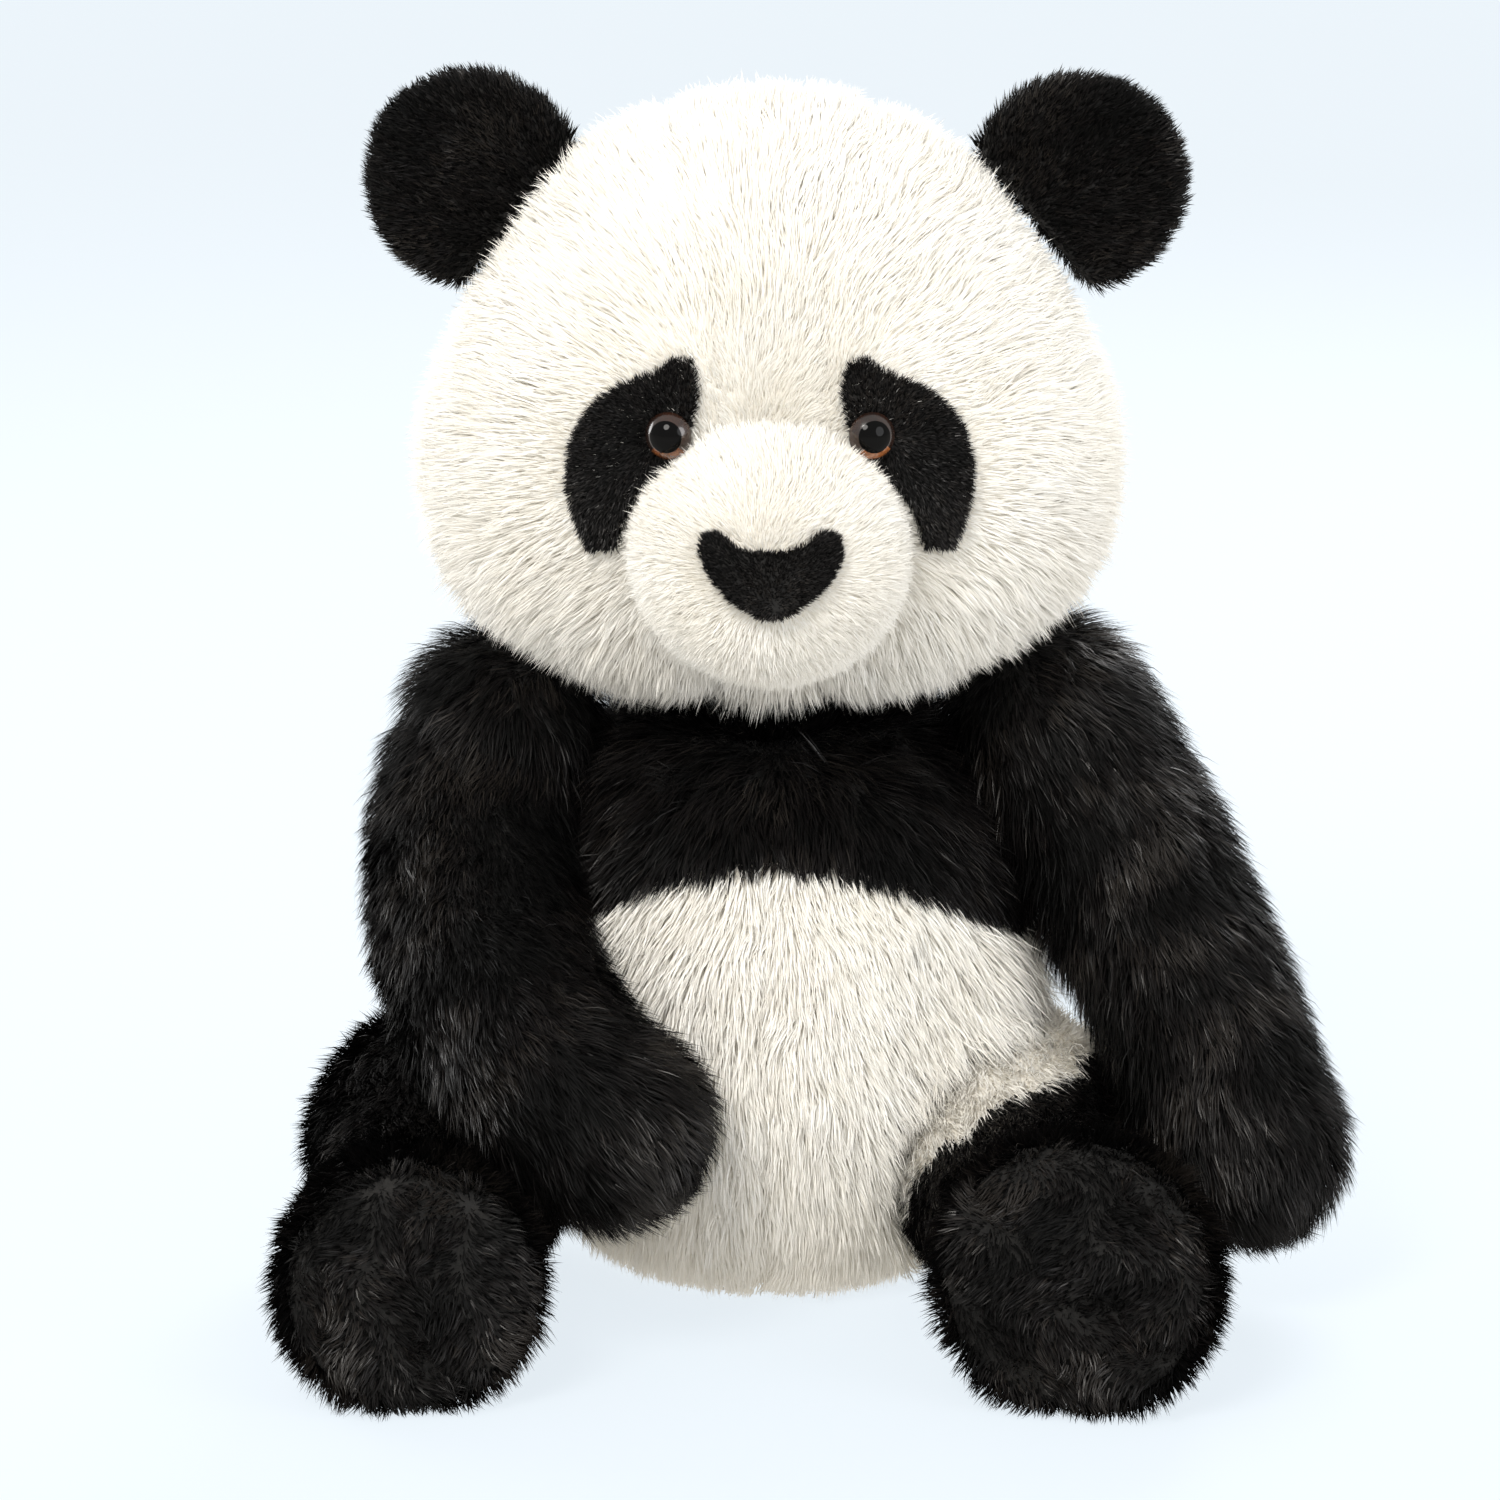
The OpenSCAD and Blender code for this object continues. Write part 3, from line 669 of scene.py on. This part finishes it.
def finish_pile(name, roots, points, leader, segments, streak, white=None):
    """white marks tufts that are as white as the belly, whatever their panel is."""
    panels = list(skins[name].panels)
    slots = {p: slot_of(p) for p in panels}
    table = {p: pile_of(p) for p in panels}
    if white is not None:
        roots.label = np.where(white, len(panels), roots.label)
        panels.append(f"{name}_white")
        slots[panels[-1]] = slot_of("belly_panel_left")
        table[panels[-1]] = WHITE_PILE
    for panel, piece in pile_pieces(panels, roots, points, leader, segments, table, streak).items():
        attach(piece, FORMS[name][0])


# Tufts to a square millimetre are given for a full render.
THIN = 1.0
LONG_STEPS, SHORT_STEPS = 3, 2
LONG_WIDTH = 0.38 * MM


def head_pile():
    """Fine short pile on the face, sweeping away from the nose, and longer pile that falls at the back and below."""
    roots = Roots(skins["head"], THIN * 3.4, 101)
    nose, mid = centre("nose_patch"), centre("head_stuffing")
    bridge = nose + np.array([0, 0, 0.02])
    face_radius, face_blend = 0.066, 0.045
    share_off_face = 0.52

    def near_face(p):
        return smooth((face_radius - np.linalg.norm(p - bridge, axis=1)) / face_blend)

    roots.keep(roots.rng.random(len(roots.at)) < mix(share_off_face, 1.0, near_face(roots.at)))
    clear = bare_under(roots, ["muzzle", "eye_patch_left", "eye_patch_right"], 1.2 * MM)
    p = roots.at
    face = near_face(p)
    back = smooth((p[:, 1] - mid[1]) / 0.05)[:, None]
    low = smooth((mid[2] - 0.012 - p[:, 2]) / 0.05)[:, None]
    nap = unit(p - nose) * (1 - back) + np.array([0, 0.3, -1.0]) * back + low * np.array([0, -0.1, -0.9])
    nap[:, 0] += np.sign(p[:, 0]) * 0.35 * np.abs(p[:, 0] - mid[0]) / 0.08
    shorter_at_patches = mix(0.5, 1.0, smooth(clear / (18 * MM)))
    length = shorter_at_patches * (11 * MM + 2.5 * MM * low[:, 0] + 1.5 * MM * back[:, 0])
    length = mix(length, np.minimum(length, 6.5 * MM), face)
    width = mix(0.36, 0.22, face) * MM
    ruffle = mix(0.22 + 0.25 * np.maximum(low[:, 0], back[:, 0]), 0.10, face)
    points, leader = grow(
        roots, nap, length, lift=0.6, width=width, segments=LONG_STEPS, clump=16, pull=ruffle, sag=0.22,
        obstacles=blockers("torso", "arm_left", "arm_right", "ear_left", "ear_right", "muzzle"))
    finish_pile("head", roots, points, leader, LONG_STEPS, streak=0.5)


def torso_pile():
    """Pile that falls down the body, rises at the neck, and laps over the left thigh."""
    roots = Roots(skins["torso"], THIN * 1.5, 102)
    limbs = ["arm_left", "arm_right", "leg_left", "leg_right", "head"]
    bare_under(roots, [*limbs, "tail"], 1.5 * MM)
    roots.keep(roots.normal[:, 2] > -0.75)
    p = roots.at
    neck = centre("neck_stuffing")
    over_thigh = np.array([64, -32, 58]) * MM
    nap = np.tile([0.0, 0.0, -1.0], (len(p), 1))
    nap[:, 0] += 0.35 * p[:, 0] / 0.07
    high = smooth((p[:, 2] - 0.128) / 0.016)[:, None]
    nap = nap * (1 - high) + high * (unit((p - neck) * np.array([1, 1, 0])) + np.array([0, 0, 0.5]))
    hip = smooth(2.0 - np.linalg.norm(p - over_thigh, axis=1) / (24 * MM))[:, None]
    nap += hip * np.array([0.9, -0.5, 0.1])
    length = 12.5 * MM + 5.5 * MM * high[:, 0] + 11 * MM * hip[:, 0]
    points, leader = grow(
        roots, nap, length, lift=0.62, width=LONG_WIDTH, segments=LONG_STEPS, clump=16, pull=0.4, sag=0.15,
        obstacles=blockers(*limbs))
    finish_pile("torso", roots, points, leader, LONG_STEPS, streak=0.5)


def limb_pile(name, others, seed):
    """Pile that runs down the limb, shorter and swirled on the sole."""
    roots = Roots(skins[name], THIN * 1.4, seed)
    bare_under(roots, others, 1.5 * MM)
    gap = bare_under(roots, ["torso"], 1.5 * MM)
    beside = 1 - smooth(gap / (22 * MM))
    middle = bezier(np.array(LIMBS[name]) * MM, np.linspace(0, 1, 25))
    heading = unit(np.gradient(middle, axis=0))
    nearest = np.linalg.norm(roots.at[:, None] - middle[None], axis=2).argmin(1)
    nap = heading[nearest] + 0.25 * roots.normal
    sole = np.array([p.startswith("sole") for p in skins[name].panels])[roots.label]
    length = np.where(sole, 6.5 * MM, 12.0 * MM)
    white = None
    if name == "leg_left":
        white = white_thigh(roots.at, roots.normal) & ~sole
        length = length * np.where(white, 0.85, 1 - 0.3 * beside)
    elif name.startswith("arm"):
        length = length + 5 * MM * beside
        to_body = np.array([-0.7 if name == "arm_left" else 0.7, 0, 0])
        nap = nap + beside[:, None] * to_body
    if sole.any():
        nap[sole] = wander(roots.at[sole], 22 * MM, seed) * 1.2 + np.array([0, 0, -0.5])
    lift = np.where(sole, 0.95, 0.62)[:, None]
    points, leader = grow(
        roots, nap, length, lift=lift, width=LONG_WIDTH, segments=LONG_STEPS, clump=14, pull=0.45, sag=0.12,
        obstacles=blockers(*others))
    finish_pile(name, roots, points, leader, LONG_STEPS, streak=1.0, white=white)


def short_pile(name, source, covers, seed, per_mm2, length, lift, width, edge=1.0):
    """Pile that sweeps away from source. edge is how many times longer the tufts are 40 mm from it."""
    roots = Roots(skins[name], per_mm2 * THIN, seed)
    bare_under(roots, covers, 0.3 * MM)
    nap = unit(roots.at - source)
    length = length * mix(1.0, edge, smooth(np.linalg.norm(roots.at - source, axis=1) / 0.04))
    points, leader = grow(
        roots, nap, length, lift, width, segments=SHORT_STEPS, clump=7, pull=0.3, sag=0.0, obstacles=[], frizz=0.22)
    finish_pile(name, roots, points, leader, SHORT_STEPS, streak=0.6)


head_pile()
torso_pile()
limb_pile("arm_left", ["torso", "leg_left", "head"], 103)
limb_pile("arm_right", ["torso", "leg_right", "head"], 104)
limb_pile("leg_left", ["torso", "arm_left"], 105)
limb_pile("leg_right", ["torso", "arm_right"], 106)
nose = centre("nose_patch")
nose_middle = nose - np.array([0, 0, 0.006])
short_pile(
    "muzzle", nose, ["head", "nose_patch"], 107,
    per_mm2=5.0, length=4.0 * MM, lift=0.6, width=0.25 * MM, edge=1.6)
short_pile(
    "nose_patch", nose_middle, ["muzzle"], 108,
    per_mm2=6.0, length=2.6 * MM, lift=0.8, width=0.28 * MM)
for s, seed in (("left", 110), ("right", 120)):
    short_pile(
        f"eye_patch_{s}", centre(f"eye_{s}"), ["head"], seed,
        per_mm2=5.0, length=3.2 * MM, lift=0.8, width=0.30 * MM)
    ear_root = centre(f"ear_front_{s}") * 0.6 + centre("head_stuffing") * 0.4
    short_pile(
        f"ear_{s}", ear_root, ["head"], seed + 1,
        per_mm2=2.6, length=5.6 * MM, lift=0.75, width=0.38 * MM)
tail_root = centre("tail") - np.array([0, 0.01, -0.01])
short_pile(
    "tail", tail_root, ["torso"], 130,
    per_mm2=1.4, length=8 * MM, lift=0.8, width=0.55 * MM)


# ---- Eyes ----

def lathe(name, profile, zones, place, axis, materials, count=48):
    """profile is (radius, height) from the bottom up; zones is a material number for each step.
    The lower part of zone 1, as it faces down, takes material 3, a lighter amber that is painted light on the lower
    side of the iris."""
    turn = Vector((0, 0, 1)).rotation_difference(Vector(axis)).to_matrix()
    points, faces, shades = [], [], []
    for r, h in profile:
        for k in range(count):
            a = 2 * math.pi * k / count
            points.append(Vector(place) + turn @ Vector((r * math.cos(a), r * math.sin(a), h)))
    for i, zone in enumerate(zones):
        for k in range(count):
            j = (k + 1) % count
            faces.append([i * count + k, i * count + j, (i + 1) * count + j, (i + 1) * count + k])
            in_painted_light = (points[i * count + k] - Vector(place)).z < -0.55 * profile[i][0]
            shades.append(3 if zone == 1 and in_painted_light else zone)
    faces.append(list(range(count - 1, -1, -1)))
    faces.append(list(range((len(profile) - 1) * count, len(profile) * count)))
    shades += [zones[0], zones[-1]]
    return new_piece(name, points, faces, materials, shades)


PUPIL = plain("eye_pupil", (0.002, 0.002, 0.002), 0.05, Specular_IOR_Level=0.12)
IRIS = patterned("eye_iris", (0.006, 0.003, 0.002), (0.035, 0.012, 0.006), 0.25, 0.5 * MM, 0.1,
                 Coat_Weight=1.0, Coat_Roughness=0.03)
# Painted light: the lower side of the iris is a lighter amber, where light through the dome would fall.
PAINTED_LIT_IRIS = patterned("eye_iris_painted_lit_amber", (0.06, 0.014, 0.004), (0.42, 0.14, 0.04), 0.25, 0.6 * MM, 0.1,
                  Coat_Weight=1.0, Coat_Roughness=0.03)
RIM = plain("eye_rim", (0.012, 0.007, 0.005), 0.2, Coat_Weight=1.0, Coat_Roughness=0.05)
STEM_R = 1.8 * MM
DOME_H = 4.1 * MM
SPHERE_R = 6.48 * MM
IRIS_R = 5.65 * MM
PUPIL_R = 3.8 * MM

for s in ("left", "right"):
    base = centre(f"eye_washer_{s}")
    points, _ = arrays_of(NODES[f"eye_{s}"].data)
    apex = points[np.linalg.norm(points - base, axis=1).argmax()]
    axis = unit(apex - base)
    tall = float(np.linalg.norm(apex - base))
    profile = [(1.4 * MM, -3.2 * MM), (STEM_R, -2.8 * MM), (STEM_R, tall - DOME_H), (5.5 * MM, tall - DOME_H)]
    zones = [2, 2, 2]
    for r in (6.0, 5.9, 5.65, 5.3, 5.0, 4.7, 4.4, 4.1, 3.8, 3.4, 3.0, 2.2, 1.4, 0.6, 0.2):
        r = r * MM
        profile.append((r, tall - SPHERE_R + math.sqrt(SPHERE_R ** 2 - r * r)))
        zones.append(2 if r > IRIS_R else 1 if r > PUPIL_R else 0)
    eye = lathe(f"eye_{s}_bead", profile, zones, base, axis, [PUPIL, IRIS, RIM, PAINTED_LIT_IRIS])
    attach(eye, "head")
    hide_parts(f"eye_{s}")
    washer = NODES[f"eye_washer_{s}"]
    washer.data.materials.clear()
    washer.data.materials.append(WASHER)


# ---- Filling, pellet bags and stitches ----

def filling(node, body, material, lump, depth):
    skin = Skin([node], 4.0 * MM if "eye" not in node else 1.0 * MM, 3)
    normals = skin.normals()
    height = np.array([noise.noise(Vector(p) / lump) for p in skin.points])
    skin.points = skin.points - normals * (depth * (1.2 + height))[:, None]
    quads = [list(dict.fromkeys(f)) for f in skin.faces.tolist()]
    piece = new_piece(f"{node}_fill", skin.points, quads, [material])
    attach(piece, body)
    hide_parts(node)


for body, members in frame["record"]["behaviour"]["bodies"].items():
    for node in members:
        if "stuffing" in node:
            filling(node, body, FIBRE, 12 * MM, 1.2 * MM)
        elif "pellet_bag" in node:
            filling(node, body, LINING, 4 * MM, 0.8 * MM)


def thread(name, paths, radius, material, sides=8):
    points, faces = [], []
    for path in paths:
        start = len(points)
        for i, p in enumerate(path):
            ahead = (path[min(i + 1, len(path) - 1)] - path[max(i - 1, 0)]).normalized()
            across = ahead.orthogonal().normalized()
            up = ahead.cross(across)
            for k in range(sides):
                a = 2 * math.pi * k / sides
                points.append(p + radius * (math.cos(a) * across + math.sin(a) * up))
        for i in range(len(path) - 1):
            for k in range(sides):
                j = (k + 1) % sides
                row = start + i * sides
                faces.append([row + k, row + j, row + sides + j, row + sides + k])
        faces.append([start + k for k in range(sides - 1, -1, -1)])
        faces.append([start + (len(path) - 1) * sides + k for k in range(sides)])
    return new_piece(name, points, faces, [material])


low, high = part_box("closing_stitches")
STITCHES, BENDS = 8, 8
stitches = []
for i in range(STITCHES):
    z = low.z + 0.5 * MM + (high.z - low.z - 1 * MM) * i / (STITCHES - 1)
    row = []
    for k in range(BENDS + 1):
        t = k / BENDS
        x = low.x + (high.x - low.x) * t
        hit, normal, _, _ = surfaces["torso"][0].find_nearest(Vector((x, high.y, z + 1.2 * MM * (t - 0.5))))
        row.append(hit + normal * (0.9 * MM * math.sin(math.pi * t) - 0.1 * MM))
    stitches.append(row)
sewn = thread("closing_stitches_thread", stitches, 0.45 * MM, THREAD)
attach(sewn, "torso")
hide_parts("closing_stitches")
